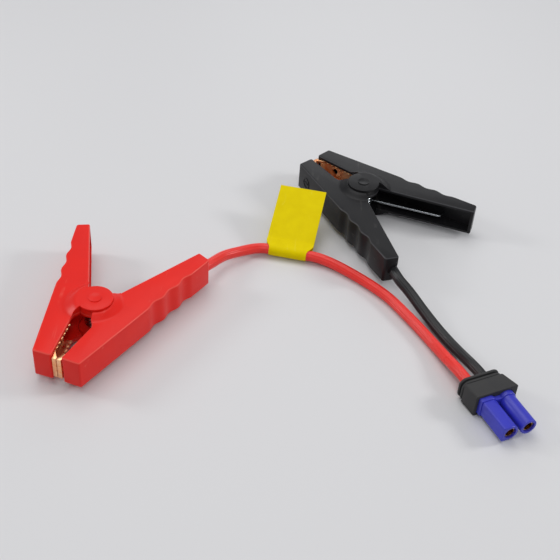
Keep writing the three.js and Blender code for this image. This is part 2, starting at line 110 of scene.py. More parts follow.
def newGroup(name, inputs, outputs):
    group = bpy.data.node_groups.new(name, "ShaderNodeTree")
    for label, kind, value in inputs:
        socket = group.interface.new_socket(name=label, in_out="INPUT", socket_type=kind)
        if value is not None:
            socket.default_value = value
    for label, kind in outputs:
        group.interface.new_socket(name=label, in_out="OUTPUT", socket_type=kind)
    start = group.nodes.new("NodeGroupInput")
    end = group.nodes.new("NodeGroupOutput")
    start.location = (-900, 0)
    end.location = (700, 0)
    return group, start, end


def addNode(tree, kind, place, inputs=None, **values):
    node = tree.nodes.new(kind)
    node.location = place
    for key, value in values.items():
        setattr(node, key, value)
    for label, value in (inputs or {}).items():
        node.inputs[label].default_value = value
    return node


def connect(tree, source, outlet, target, inlet):
    tree.links.new(source.outputs[outlet], target.inputs[inlet])


def makeMouldGrain():
    group, start, end = newGroup(
        "mouldGrain",
        [
            ("Vector", "NodeSocketVector", None),
            ("Grain Size", "NodeSocketFloat", 3000.0),
            ("Patch Size", "NodeSocketFloat", 60.0),
        ],
        [("Grain", "NodeSocketFloat"), ("Patches", "NodeSocketFloat")],
    )
    fine = addNode(group, "ShaderNodeTexNoise", (-500, 200), {"Detail": 3})
    broad = addNode(group, "ShaderNodeTexNoise", (-500, -200), {"Detail": 5})
    for size, texture, result in (("Grain Size", fine, "Grain"), ("Patch Size", broad, "Patches")):
        connect(group, start, "Vector", texture, "Vector")
        connect(group, start, size, texture, "Scale")
        connect(group, texture, "Fac", end, result)
    return group


def makeScuffs():
    group, start, end = newGroup(
        "scuffs",
        [
            ("Vector", "NodeSocketVector", None),
            ("Scratch Size", "NodeSocketFloat", 300.0),
            ("Amount", "NodeSocketFloat", 0.1),
        ],
        [("Mask", "NodeSocketFloat")],
    )
    # long thin scratches, kept only in some patches
    stretch = {"Rotation": (0.3, 0.5, 0.7), "Scale": (1.0, 0.07, 1.0)}
    stretched = addNode(group, "ShaderNodeMapping", (-700, 100), stretch)
    scratch = addNode(group, "ShaderNodeTexNoise", (-500, 100), {"Detail": 2})
    patches = addNode(group, "ShaderNodeTexNoise", (-500, -200), {"Scale": 90})
    narrow = addNode(group, "ShaderNodeMapRange", (-300, 100), {"From Min": 0.62, "From Max": 0.72})
    where = addNode(group, "ShaderNodeMapRange", (-300, -200), {"From Min": 0.5, "From Max": 0.62})
    both = addNode(group, "ShaderNodeMath", (-50, 0), operation="MULTIPLY")
    amount = addNode(group, "ShaderNodeMath", (150, 0), operation="MULTIPLY")
    connect(group, start, "Vector", stretched, "Vector")
    connect(group, stretched, "Vector", scratch, "Vector")
    connect(group, start, "Vector", patches, "Vector")
    connect(group, start, "Scratch Size", scratch, "Scale")
    connect(group, scratch, "Fac", narrow, "Value")
    connect(group, patches, "Fac", where, "Value")
    connect(group, narrow, "Result", both, 0)
    connect(group, where, "Result", both, 1)
    connect(group, both, "Value", amount, 0)
    connect(group, start, "Amount", amount, 1)
    connect(group, amount, "Value", end, "Mask")
    return group


mouldGrain = makeMouldGrain()
scuffs = makeScuffs()


def startMaterial(name, sockets):
    material = bpy.data.materials.new(name)
    material.use_nodes = True
    tree = material.node_tree
    shader = tree.nodes["Principled BSDF"]
    for label, value in sockets.items():
        shader.inputs[label].default_value = value
    coordinates = addNode(tree, "ShaderNodeTexCoord", (-1300, 0))
    return material, tree, shader, coordinates


def mixColours(tree, place, factor, first, second):
    mix = addNode(tree, "ShaderNodeMix", place, data_type="RGBA")
    for socket, value in ((mix.inputs[6], first), (mix.inputs[7], second)):
        if isinstance(value, tuple):
            socket.default_value = (*value, 1)
        else:
            tree.links.new(value, socket)
    tree.links.new(factor, mix.inputs[0])
    return mix.outputs[2]


def spread(tree, place, value, low, high, fromLow=0.3, fromHigh=0.7):
    limits = {"From Min": fromLow, "From Max": fromHigh, "To Min": low, "To Max": high}
    node = addNode(tree, "ShaderNodeMapRange", place, limits)
    tree.links.new(value, node.inputs["Value"])
    return node.outputs["Result"]


def addBump(tree, shader, height, strength, distance):
    bump = addNode(tree, "ShaderNodeBump", (-250, -400), {"Strength": strength, "Distance": distance})
    tree.links.new(height, bump.inputs["Height"])
    connect(tree, bump, "Normal", shader, "Normal")


def paintRimHighlight(tree, coordinates, colour, look):
    # painted highlight: a lighter band of colour along the rounded edge between the flat face and the wall,
    # where that edge would catch the light
    place = addNode(tree, "ShaderNodeSeparateXYZ", (-1050, 450))
    connect(tree, coordinates, "Object", place, 0)
    low, high = look["rimHighlightHeight"]
    fade = 0.0001
    rise = spread(tree, (-800, 600), place.outputs["Z"], 0, 1, low - fade, low + fade)
    fall = spread(tree, (-800, 450), place.outputs["Z"], 1, 0, high - fade, high + fade)
    band = addNode(tree, "ShaderNodeMath", (-600, 500), operation="MULTIPLY")
    tree.links.new(rise, band.inputs[0])
    tree.links.new(fall, band.inputs[1])
    return mixColours(tree, (-100, 350), band.outputs["Value"], colour, look["rimHighlightColour"])


def makeSurface(name, look):
    # scratches and a painted rim highlight only where the look asks for them
    material, tree, shader, coordinates = startMaterial(name, look["sockets"])
    sizes = {"Grain Size": look["grainSize"], "Patch Size": look["patchSize"]}
    grain = addNode(tree, "ShaderNodeGroup", (-1050, 100), sizes, node_tree=mouldGrain)
    connect(tree, coordinates, "Object", grain, "Vector")
    patches = spread(tree, (-800, 250), grain.outputs["Patches"], 0, 1)
    colour = mixColours(tree, (-550, 250), patches, look["colour"], look["patchColour"])
    if "scratches" in look:
        wear = {"Scratch Size": look["scratchSize"], "Amount": look["scratches"]}
        marks = addNode(tree, "ShaderNodeGroup", (-1050, -200), wear, node_tree=scuffs)
        connect(tree, coordinates, "Object", marks, "Vector")
        colour = mixColours(tree, (-300, 250), marks.outputs["Mask"], colour, look["scratchColour"])
    # painted highlight: a lighter band of colour along the rounded top rim
    if "rimHighlightColour" in look:
        colour = paintRimHighlight(tree, coordinates, colour, look)
    tree.links.new(colour, shader.inputs["Base Color"])
    gloss = spread(tree, (-550, -50), grain.outputs["Patches"], *look["roughness"])
    tree.links.new(gloss, shader.inputs["Roughness"])
    height = grain.outputs[look.get("bumpFrom", "Grain")]
    addBump(tree, shader, height, look["bump"], look["bumpDepth"])
    return material


redPlastic = makeSurface("redPlastic", {
    "colour": (0.84, 0.016, 0.008),
    "patchColour": (0.77, 0.013, 0.008),
    "scratchColour": (0.9, 0.2, 0.15),
    # painted highlight: a lighter red band along the rounded top rim
    "rimHighlightColour": (0.9, 0.09, 0.07),
    "rimHighlightHeight": (0.02058, 0.02110),
    "scratches": 0.25,
    "scratchSize": 420.0,
    "grainSize": 2600.0,
    "patchSize": 45.0,
    "roughness": (0.3, 0.37),
    "bump": 0.25,
    "bumpDepth": 0.00005,
    "sockets": {"Specular IOR Level": 0.26},
})
blackPlastic = makeSurface("blackPlastic", {
    "colour": (0.011, 0.011, 0.0125),
    "patchColour": (0.0145, 0.014, 0.015),
    "scratchColour": (0.1, 0.095, 0.09),
    # painted highlight: a grey band along the rounded top rim
    "rimHighlightColour": (0.06, 0.06, 0.065),
    "rimHighlightHeight": (0.02058, 0.02110),
    "scratches": 0.3,
    "scratchSize": 420.0,
    "grainSize": 2600.0,
    "patchSize": 45.0,
    "roughness": (0.3, 0.38),
    "bump": 0.3,
    "bumpDepth": 0.00005,
    "sockets": {"Specular IOR Level": 0.2},
})
bootRubber = makeSurface("bootRubber", {
    "colour": (0.028, 0.028, 0.03),
    "patchColour": (0.038, 0.037, 0.037),
    "scratchColour": (0.1, 0.1, 0.1),
    "scratches": 0.3,
    "scratchSize": 500.0,
    "grainSize": 3200.0,
    "patchSize": 120.0,
    "roughness": (0.6, 0.72),
    "bump": 0.45,
    "bumpDepth": 0.00006,
    "sockets": {"Specular IOR Level": 0.4},
})
blueNylon = makeSurface("blueNylon", {
    "colour": (0.035, 0.04, 0.52),
    "patchColour": (0.03, 0.034, 0.44),
    "scratchColour": (0.2, 0.22, 0.7),
    "scratches": 0.3,
    "scratchSize": 500.0,
    "grainSize": 2200.0,
    "patchSize": 90.0,
    "roughness": (0.34, 0.42),
    "bump": 0.2,
    "bumpDepth": 0.00004,
    "sockets": {"Specular IOR Level": 0.5},
})
copperPlate = makeSurface("copperPlate", {
    "colour": (0.96, 0.4, 0.17),
    "patchColour": (1.0, 0.62, 0.36),
    "grainSize": 1400.0,
    "patchSize": 300.0,
    "roughness": (0.22, 0.38),
    "bump": 0.35,
    "bumpDepth": 0.00006,
    "sockets": {"Metallic": 1.0},
})
springSteel = makeSurface("springSteel", {
    "colour": (0.42, 0.44, 0.46),
    "patchColour": (0.3, 0.32, 0.34),
    "grainSize": 2400.0,
    "patchSize": 260.0,
    "roughness": (0.16, 0.3),
    "bump": 0.2,
    "bumpDepth": 0.00004,
    "sockets": {"Metallic": 1.0},
})
goldContact = makeSurface("goldContact", {
    "colour": (0.95, 0.56, 0.16),
    "patchColour": (1.0, 0.68, 0.26),
    "grainSize": 2000.0,
    "patchSize": 400.0,
    "roughness": (0.18, 0.3),
    "bump": 0.2,
    "bumpDepth": 0.00004,
    "sockets": {"Metallic": 1.0},
})


floorLook = {
    "colour": (0.68, 0.68, 0.695),
    "patchColour": (0.72, 0.72, 0.73),
    "patchSize": 2.0,
    "roughness": (0.42, 0.5),
    "sockets": {"Specular IOR Level": 0.35},
}


def paleFloor(look):
    material, tree, shader, coordinates = startMaterial("paleFloor", look["sockets"])
    broad = addNode(tree, "ShaderNodeTexNoise", (-900, 0), {"Scale": look["patchSize"]})
    connect(tree, coordinates, "Object", broad, "Vector")
    patches = broad.outputs["Fac"]
    colour = mixColours(tree, (-400, 200), patches, look["colour"], look["patchColour"])
    tree.links.new(colour, shader.inputs["Base Color"])
    gloss = spread(tree, (-400, -100), patches, *look["roughness"])
    tree.links.new(gloss, shader.inputs["Roughness"])
    return material


floor.data.materials.append(paleFloor(floorLook))
print("materials ready")


# drawing aids

# turns a shape drawn lying down so that its height runs along x
standUp = Matrix(((0, 0, 1, 0), (1, 0, 0, 0), (0, 1, 0, 0), (0, 0, 0, 1)))


def onlySelect(thing):
    if bpy.context.object and bpy.context.object.mode == "EDIT":
        bpy.ops.object.mode_set(mode="OBJECT")
    bpy.ops.object.select_all(action="DESELECT")
    thing.select_set(True)
    bpy.context.view_layer.objects.active = thing


def namedShape(name):
    thing = bpy.context.object
    thing.name = name
    bpy.ops.object.transform_apply(location=True, rotation=True, scale=True)
    return thing


def applyPlace(thing, place):
    thing.matrix_world = place
    onlySelect(thing)
    bpy.ops.object.transform_apply(location=True, rotation=True, scale=True)
    return thing


def paint(thing, material):
    thing.data.materials.clear()
    thing.data.materials.append(material)


def pick(thing, kind, chosen):
    onlySelect(thing)
    bpy.ops.object.mode_set(mode="EDIT")
    bpy.ops.mesh.select_mode(type=kind)
    bpy.ops.mesh.select_all(action="DESELECT")
    shape = bmesh.from_edit_mesh(thing.data)
    for part in shape.faces if kind == "FACE" else shape.edges:
        part.select_set(chosen(part))
    bmesh.update_edit_mesh(thing.data)


def faceOutward(thing, weld=0.0):
    onlySelect(thing)
    bpy.ops.object.mode_set(mode="EDIT")
    bpy.ops.mesh.select_all(action="SELECT")
    if weld:
        bpy.ops.mesh.remove_doubles(threshold=weld)
    bpy.ops.mesh.normals_make_consistent(inside=False)
    bpy.ops.object.mode_set(mode="OBJECT")


def drawLine(name, points):
    # leaves the line open in edit mode
    bpy.ops.object.select_all(action="DESELECT")
    bpy.ops.mesh.primitive_plane_add(size=1, location=points[0])
    thing = namedShape(name)
    bpy.ops.object.mode_set(mode="EDIT")
    bpy.ops.mesh.select_mode(type="VERT")
    bpy.ops.mesh.merge(type="CENTER")
    for before, after in zip(points, points[1:]):
        step = tuple(b - a for a, b in zip(before, after))
        bpy.ops.mesh.extrude_vertices_move(TRANSFORM_OT_translate={"value": step})
    return thing


def raiseOutline(name, points, low, high):
    thing = drawLine(name, [(x, y, low) for x, y in [*points, points[0]]])
    bpy.ops.mesh.select_all(action="SELECT")
    bpy.ops.mesh.remove_doubles(threshold=0.0005)
    bpy.ops.mesh.edge_face_add()
    bpy.ops.mesh.extrude_region_move(TRANSFORM_OT_translate={"value": (0, 0, high - low)})
    faceOutward(thing)
    return thing


def softenEdges(thing, width, segments, chosen):
    pick(thing, "EDGE", lambda edge: chosen(edge.verts[0].co, edge.verts[1].co))
    bpy.ops.mesh.bevel(offset=width, segments=segments, profile=0.5, affect="EDGES", clamp_overlap=False)
    bpy.ops.object.mode_set(mode="OBJECT")
    return thing


def atHeight(height):
    return lambda a, b: abs(a.z - height) < 0.01 and abs(b.z - height) < 0.01


def atBothFaces(height):
    return lambda a, b: abs(abs(a.z) - height) < 0.01 and abs(a.z - b.z) < 0.01


def applyChange(thing, kind, **settings):
    change = thing.modifiers.new("change", kind)
    for key, value in settings.items():
        setattr(change, key, value)
    bpy.ops.object.modifier_apply(modifier=change.name)


def carve(thing, tool, how="DIFFERENCE"):
    onlySelect(thing)
    applyChange(thing, "BOOLEAN", operation=how, solver="EXACT", object=tool)
    bpy.data.objects.remove(tool)
    return thing


def easeEdges(thing, width):
    onlySelect(thing)
    bpy.ops.object.mode_set(mode="EDIT")
    bpy.ops.mesh.select_all(action="SELECT")
    bpy.ops.mesh.remove_doubles(threshold=0.002)
    bpy.ops.mesh.dissolve_limited(angle_limit=math.radians(0.5))
    bpy.ops.object.mode_set(mode="OBJECT")
    applyChange(
        thing, "BEVEL", width=width, segments=2, limit_method="ANGLE",
        angle_limit=math.radians(40), harden_normals=False,
    )
    return thing


def joinShapes(name, *things):
    onlySelect(things[0])
    for thing in things[1:]:
        thing.select_set(True)
    bpy.ops.object.join()
    bpy.context.object.name = name
    return bpy.context.object


def copyOf(thing, name):
    twin = thing.copy()
    twin.data = thing.data.copy()
    twin.name = name
    bpy.context.scene.collection.objects.link(twin)
    return twin


def putInPlace(thing, place, material, body, nodes=(), angle=35):
    applyPlace(thing, place @ Matrix.Scale(mm, 4))
    bpy.ops.object.shade_smooth_by_angle(angle=math.radians(angle))
    paint(thing, material)
    if body:
        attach(thing, body)
    if nodes:
        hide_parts(*nodes)
    return thing


def roundedCorners(corners, steps=6):
    points = []
    for index, (x, y, radius) in enumerate(corners):
        corner = Vector((x, y))
        if not radius:
            points.append((x, y))
            continue
        before = (Vector(corners[index - 1][:2]) - corner).normalized()
        after = (Vector(corners[(index + 1) % len(corners)][:2]) - corner).normalized()
        half = before.angle(after) / 2
        middle = corner + (before + after).normalized() * radius / math.sin(half)
        start = corner + before * radius / math.tan(half) - middle
        end = corner + after * radius / math.tan(half) - middle
        for step in range(steps + 1):
            points.append(tuple(middle + start.lerp(end, step / steps).normalized() * radius))
    return points


def roundBar(name, radius, low, high, sides=96):
    bpy.ops.object.select_all(action="DESELECT")
    bpy.ops.mesh.primitive_cylinder_add(
        vertices=sides, radius=radius, depth=high - low, location=(0, 0, (low + high) / 2))
    return namedShape(name)


# cables first: route points as in the solid model, in metres

cableShape = {
    "diameter": 0.0062,
    "ridges": 10,
    "ridgeHeight": 0.0002,
    "ridgeSteps": 8,
    "grooveWidth": 0.7,  # smaller is narrower
    "twist": 0.4,  # turn in radians over each stretch of twistLength
    "twistLength": 0.1,
    "redRoute": [
        (-0.0843, -0.0752, 0.0126), (-0.0682, -0.0498, 0.0126), (-0.0563, -0.0313, 0.0123),
        (-0.0486, -0.0195, 0.0116), (-0.0437, -0.0124, 0.011), (-0.0388, -0.0057, 0.0101),
        (-0.0319, 0.0051, 0.0078), (-0.0229, 0.0131, 0.0056), (-0.0146, 0.0182, 0.0045),
        (-0.009, 0.0194, 0.0043), (-0.001, 0.01816, 0.0043), (0.00625, 0.01695, 0.0043),
        (0.0135, 0.01575, 0.0043), (0.0215, 0.01442, 0.0043), (0.0308, 0.0107, 0.0039),
        (0.0483, -0.001, 0.0031), (0.0637, -0.0155, 0.0031), (0.0738, -0.0296, 0.0031),
        (0.0812, -0.0412, 0.0031), (0.0878, -0.0526, 0.0033), (0.0938, -0.0648, 0.0049),
        (0.0981, -0.0738, 0.0066), (0.101, -0.0796, 0.007), (0.1036, -0.085, 0.007),
        (0.1054, -0.0886, 0.007),
    ],
    "blackRoute": [
        (0.03, 0.0645, 0.0126), (0.0449, 0.0385, 0.0126), (0.0557, 0.0192, 0.0123),
        (0.0626, 0.007, 0.0116), (0.0665, -0.0008, 0.011), (0.0701, -0.0083, 0.0101),
        (0.0758, -0.0157, 0.0079), (0.0831, -0.0274, 0.0052), (0.0899, -0.0388, 0.0036),
        (0.0963, -0.0498, 0.0033), (0.1025, -0.0615, 0.0047), (0.1063, -0.0694, 0.0064),
        (0.1095, -0.0753, 0.0069), (0.1121, -0.0807, 0.007), (0.114, -0.0843, 0.007),
    ],
    "exitPoint": 4,  # the route point where each cable leaves the tail of its clamp
    "seamPoint": 3,  # the part of the cable up to here is a piece of its own
}


def smoothRoute(route, steps=12):
    points = [Vector(p) for p in route]
    points = [2 * points[0] - points[1], *points, 2 * points[-1] - points[-2]]
    line, marks = [], []
    for index in range(1, len(points) - 2):
        p0, p1, p2, p3 = points[index - 1 : index + 3]
        t1 = math.sqrt((p1 - p0).length)
        t2 = t1 + math.sqrt((p2 - p1).length)
        t3 = t2 + math.sqrt((p3 - p2).length)
        marks.append(len(line))
        for step in range(steps):
            t = t1 + (t2 - t1) * step / steps
            a1 = p0.lerp(p1, t / t1)
            a2 = p1.lerp(p2, (t - t1) / (t2 - t1))
            a3 = p2.lerp(p3, (t - t2) / (t3 - t2))
            b1 = a1.lerp(a2, t / t2)
            b2 = a2.lerp(a3, (t - t1) / (t3 - t1))
            line.append(b1.lerp(b2, (t - t1) / (t2 - t1)))
    marks.append(len(line))
    line.append(points[-2])
    return line, marks


def cableProfile():
    curve = bpy.data.curves.new("cableProfile", "CURVE")
    curve.dimensions = "2D"
    ring = curve.splines.new("POLY")
    sides = cableShape["ridges"] * cableShape["ridgeSteps"]
    ring.points.add(sides - 1)
    for index in range(sides):
        angle = 2 * math.pi * index / sides
        wave = 1 - abs(math.sin(cableShape["ridges"] * angle / 2)) ** cableShape["grooveWidth"]
        radius = cableShape["diameter"] / 2 - cableShape["ridgeHeight"] * wave
        ring.points[index].co = (radius * math.cos(angle), radius * math.sin(angle), 0, 1)
    ring.use_cyclic_u = True
    profile = bpy.data.objects.new("cableProfile", curve)
    bpy.context.scene.collection.objects.link(profile)
    return profile


def twistAfter(length):
    return length / cableShape["twistLength"] * cableShape["twist"]


def sweepCable(name, line, material, startTurn=0.0):
    curve = bpy.data.curves.new(name, "CURVE")
    curve.dimensions = "3D"
    curve.twist_mode = "MINIMUM"
    spline = curve.splines.new("POLY")
    spline.points.add(len(line) - 1)
    travelled = 0.0
    for index, point in enumerate(line):
        if index:
            travelled += (point - line[index - 1]).length
        spline.points[index].co = (*point, 1)
        spline.points[index].tilt = startTurn + twistAfter(travelled)
    curve.bevel_mode = "OBJECT"
    profile = cableProfile()
    curve.bevel_object = profile
    curve.use_fill_caps = True
    thing = bpy.data.objects.new(name, curve)
    bpy.context.scene.collection.objects.link(thing)
    onlySelect(thing)
    bpy.ops.object.convert(target="MESH")
    thing = bpy.context.object
    faceOutward(thing, 0.000001)
    bpy.ops.object.shade_smooth_by_angle(angle=math.radians(24))
    bpy.data.objects.remove(profile)
    paint(thing, material)
    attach(thing, "clamps_and_cables")
    return thing


redSleeve = makeSurface("redSleeve", {
    "colour": (0.87, 0.036, 0.027),
    "patchColour": (0.81, 0.03, 0.022),
    "grainSize": 2200.0,
    "patchSize": 70.0,
    "roughness": (0.26, 0.34),
    "bump": 0.2,
    "bumpDepth": 0.00004,
    "sockets": {"Specular IOR Level": 0.42},
})
blackSleeve = makeSurface("blackSleeve", {
    "colour": (0.014, 0.014, 0.016),
    "patchColour": (0.019, 0.019, 0.02),
    "grainSize": 2200.0,
    "patchSize": 70.0,
    "roughness": (0.28, 0.36),
    "bump": 0.2,
    "bumpDepth": 0.00004,
    "sockets": {"Specular IOR Level": 0.36},
})


def layCable(name, route, material, node):
    line, marks = smoothRoute(route)
    seam = marks[cableShape["seamPoint"]]
    inside = sweepCable(name + "Inside", line[: seam + 1], material)
    insideLength = sum((b - a).length for a, b in zip(line[:seam], line[1 : seam + 1]))
    free = sweepCable(name, line[seam:], material, twistAfter(insideLength))
    for part in (inside, free):
        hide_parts(node)
    length = sum((b - a).length for a, b in zip(line[seam:], line[seam + 1 :]))
    return free, line[seam:], length


redCable, redLine, redLength = layCable(
    "redCable", cableShape["redRoute"], redSleeve, "red_cable")
blackCable, blackLine, blackLength = layCable(
    "blackCable", cableShape["blackRoute"], blackSleeve, "black_cable")
print(f"cables laid: red {redLength:.3f} m, black {blackLength:.3f} m")


# clamp halves, drawn once about the pivot and copied to both clamps

halfShape = {
    "thickness": 17.2,
    "wall": 1.8,
    "backWall": 2.4,
    "rim": 0.8,
    "outerEdge": 24.4,
    "nose": 38.3,
    "noseTip": (40.8, 14.4),
    "noseRound": 1.2,
    "jawRoot": (12.4, 10.3),
    "tail": -66.6,
    "tailSkew": 1.4,
    "tailRound": 1.6,
    "tailInner": {1: 16.0, -1: 17.0},
    "tailInnerRound": 0.9,
    "hollowRound": 0.8,
    "mouth": -25.0,  # the hollow's far end, past the pivot, so that it stays open
    # from the handle round the pivot into the throat: 1 is the cable half, -1 the lever
    "waist": {
        1: [
            (-9.1, 3.5, 2.0), (-2.0, 3.0, 0), (7.2, 5.2, 0), (11.2, 7.2, 1.6), (12.8, 9.2, 1.0),
            (14.8, 10.65, 1.2),
        ],
        -1: [(-9.1, 5.4, 2.0), (-2.0, 3.0, 0), (7.2, 6.5, 0), (9.8, 9.4, 1.2), (12.4, 10.3, 1.2)],
    },
    "opening": 15.67,  # degrees from the clamp's middle line
    "gripStart": -13.9,
    "gripPitch": 12.5,
    "gripDepth": 1.3,
    "gripSteps": 14,
    "grips": 3,
    "slotAt": 18.1,
    "slotHeight": -1.6,
    "slotReach": 12.0,
}
pivotShape = {
    "earRadius": 9.7,
    "collarTop": 11.2,
    "shoulderReach": {1: 5.6, -1: 8.2},
    "shoulderRings": 16,
    "discUnder": 11.5,
    "discTop": 12.6,
    "discEdge": 0.3,
    "buttonRadius": 3.5,
    "buttonRise": 0.5,
    "buttonRoot": 0.4,
    "buttonRing": 0.65,
    "buttonSink": 0.3,
    "buttonEdge": 0.12,
    "gap": 0.3,
    "pinRadius": 2.4,
    "boreReach": 14.0,
    "boreRoof": 0.5,  # what stays closed over the pin
}
halfHeight = halfShape["thickness"] / 2
cavityHalf = halfHeight - halfShape["wall"]
opening = math.radians(halfShape["opening"])
boreRadius = pivotShape["pinRadius"] + pivotShape["gap"]
sleeveRadius = cableShape["diameter"] / mm / 2 + pivotShape["gap"]


def inClamp(x, y, side):
    return (
        x * math.cos(opening) + y * math.sin(opening),
        side * (y * math.cos(opening) - x * math.sin(opening)),
    )


def placedCorners(corners, side):
    return [(*inClamp(x, y, side), radius) for x, y, radius in corners]


def noseFace(y):
    nose, tip, edge = halfShape["nose"], halfShape["noseTip"], halfShape["outerEdge"]
    return nose + (tip[0] - nose) * (edge - y) / (edge - tip[1])


def jawEdge(x):
    root, tip = halfShape["jawRoot"], halfShape["noseTip"]
    return root[1] + (tip[1] - root[1]) / (tip[0] - root[0]) * (x - root[0])


def halfOutline(side):
    edge, tail, rounding = halfShape["outerEdge"], halfShape["tail"], halfShape["noseRound"]
    start, pitch = halfShape["gripStart"], halfShape["gripPitch"]
    corners = [(halfShape["nose"], edge, rounding), (start, edge, 0)]
    for index in range(1, halfShape["gripSteps"] * halfShape["grips"]):
        along = index / halfShape["gripSteps"]
        hollow = halfShape["gripDepth"] * math.sin(math.pi * along) ** 2
        corners.append((start - along * pitch, edge - hollow, 0))
    corners += [
        (start - halfShape["grips"] * pitch, edge, 0),
        (tail, edge, halfShape["tailRound"]),
        (tail - halfShape["tailSkew"], halfShape["tailInner"][side], halfShape["tailInnerRound"]),
        *halfShape["waist"][side],
        (*halfShape["noseTip"], rounding),
    ]
    return roundedCorners(placedCorners(corners, side))


def hollowOutline(side):
    mouth, rounding = halfShape["mouth"], halfShape["hollowRound"]
    inset = halfShape["wall"] / math.cos(opening)
    edge = halfShape["outerEdge"] - halfShape["backWall"]
    tail = halfShape["tail"] + halfShape["wall"]
    skewed = tail - halfShape["tailSkew"]
    corners = [
        (noseFace(edge) - inset, edge, rounding),
        (tail, edge, rounding),
        (skewed, halfShape["tailInner"][side], 0),
        (skewed, mouth, 0),
        (noseFace(mouth) - inset, mouth, 0),
    ]
    return roundedCorners(placedCorners(corners, side), 4)


def moulding(name, side):
    shell = raiseOutline(name, halfOutline(side), -halfHeight, halfHeight)
    softenEdges(shell, halfShape["rim"], 4, atBothFaces(halfHeight))
    return carve(shell, raiseOutline("hollow", hollowOutline(side), -cavityHalf, cavityHalf))


def turnShoulder(side, low, top):
    radius, reach = pivotShape["earRadius"], pivotShape["shoulderReach"][side]
    rings = pivotShape["shoulderRings"]
    profile = [(0, 0, low), (radius + reach, 0, low)]
    for index in range(rings, -1, -1):
        along = index / rings
        fall = along * along * (3 - 2 * along)
        profile.append((radius + reach * along, 0, top - (top - halfHeight) * fall))
    profile.append((0, 0, top))
    shoulder = drawLine("shoulder", profile)
    bpy.ops.object.mode_set(mode="OBJECT")
    applyChange(
        shoulder, "SCREW", steps=96, render_steps=96, use_merge_vertices=True, use_normal_calculate=True)
    faceOutward(shoulder, 0.001)
    return shoulder


def addCollar(shell, side, top):
    low = halfHeight - halfShape["rim"]
    for face in (1, -1):
        shoulder = turnShoulder(side, low, top)
        carve(shoulder, raiseOutline("half", halfOutline(side), 0, top + 1), "INTERSECT")
        if face < 0:
            onlySelect(shoulder)
            bpy.ops.object.mode_set(mode="EDIT")
            bpy.ops.mesh.select_all(action="SELECT")
            bpy.ops.transform.resize(value=(1, 1, -1), center_override=(0, 0, 0))
            faceOutward(shoulder)
        carve(shell, shoulder, "UNION")
    return shell


def onBothFaces(shell, radius, low, high, how, rim=0.0):
    for below, above in ((low, high), (-high, -low)):
        tool = roundBar("round", radius, below, above)
        if rim:
            softenEdges(tool, rim, 3, atHeight(high if above > 0 else -high))
        carve(shell, tool, how)
    return shell


def tailSlot():
    # open towards the other half; the tool stands 1 mm out of the wall on either side
    at, inner = halfShape["slotAt"], halfShape["slotAt"] - halfShape["slotReach"]
    arc = [math.radians(90 - 7.5 * step) for step in range(25)]
    points = [(inner, sleeveRadius)]
    points += [(at + sleeveRadius * math.cos(a), sleeveRadius * math.sin(a)) for a in arc]
    points += [(inner, -sleeveRadius)]
    tool = raiseOutline("tailSlot", points, 0, halfShape["wall"] + halfShape["tailSkew"] + 2)
    shift = Matrix.Translation((halfShape["tail"] - halfShape["tailSkew"] - 1, 0, halfShape["slotHeight"]))
    return applyPlace(tool, Matrix.Rotation(-opening, 4, "Z") @ shift @ standUp)


def makeCableHalf():
    shell = moulding("cableHalf", 1)
    top = pivotShape["collarTop"]
    addCollar(shell, 1, top)
    onBothFaces(shell, pivotShape["earRadius"], cavityHalf, top, "UNION")
    reach = pivotShape["boreReach"]
    carve(shell, roundBar("pinHole", boreRadius, -reach, reach, sides=48))
    return carve(shell, tailSlot())


def makeLeverHalf():
    shell = moulding("leverHalf", -1)
    under, top, radius = pivotShape["discUnder"], pivotShape["discTop"], pivotShape["earRadius"]
    buttonTop = top + pivotShape["buttonRise"]
    addCollar(shell, -1, top)
    carve(shell, roundBar("clearance", radius + pivotShape["gap"], -under, under))
    onBothFaces(shell, radius, under, top, "UNION", pivotShape["discEdge"])
    button = roundBar("button", pivotShape["buttonRadius"], top - pivotShape["buttonRoot"], buttonTop)
    pick(button, "FACE", lambda face: face.normal.z > 0.9)
    bpy.ops.mesh.inset(thickness=pivotShape["buttonRing"], depth=0)
    bpy.ops.transform.translate(value=(0, 0, -pivotShape["buttonSink"]))
    bpy.ops.object.mode_set(mode="OBJECT")
    softenEdges(button, pivotShape["buttonEdge"], 2, atHeight(buttonTop))
    carve(shell, button, "UNION")
    roof = top - pivotShape["boreRoof"]
    for low, high in ((under - 1, roof), (-roof, 1 - under)):
        carve(shell, roundBar("pinBore", boreRadius, low, high, sides=48))
    return shell


cableHalf = makeCableHalf()
leverHalf = makeLeverHalf()
print("clamp halves moulded:", len(cableHalf.data.polygons), len(leverHalf.data.polygons), "faces")


# copper jaws

jawShape = {
    "sheet": 1.2,
    "rear": 15.0,
    "depth": 5.0,
    "proud": 0.7,
    "toothPitch": 3.4,
    "toothDepth": 1.0,
    "toothStart": 0.6,
    "toothSteps": 8,
    "teeth": 6,
    "tip": 1.5,
    "tipCorner": 40.7,
    "tipRoom": 0.05,
    "seamFront": 41.5,
    "floorEnd": 37.4,
    "insideEnd": 36.2,
    "insideStep": (0.9, 0.4),
    "toolReach": 3.0,  # how far the cutting shapes stand out of the metal
    "notchAt": (38.5, 0.6),
    "holeRadius": 1.8,
    "holeAt": 28.0,
    "crimp": (6.0, 16.5),
    "crimpWall": 0.8,
    "crimpEdge": 0.15,
    "cableLine": 17.4,
    "edge": 0.22,
}


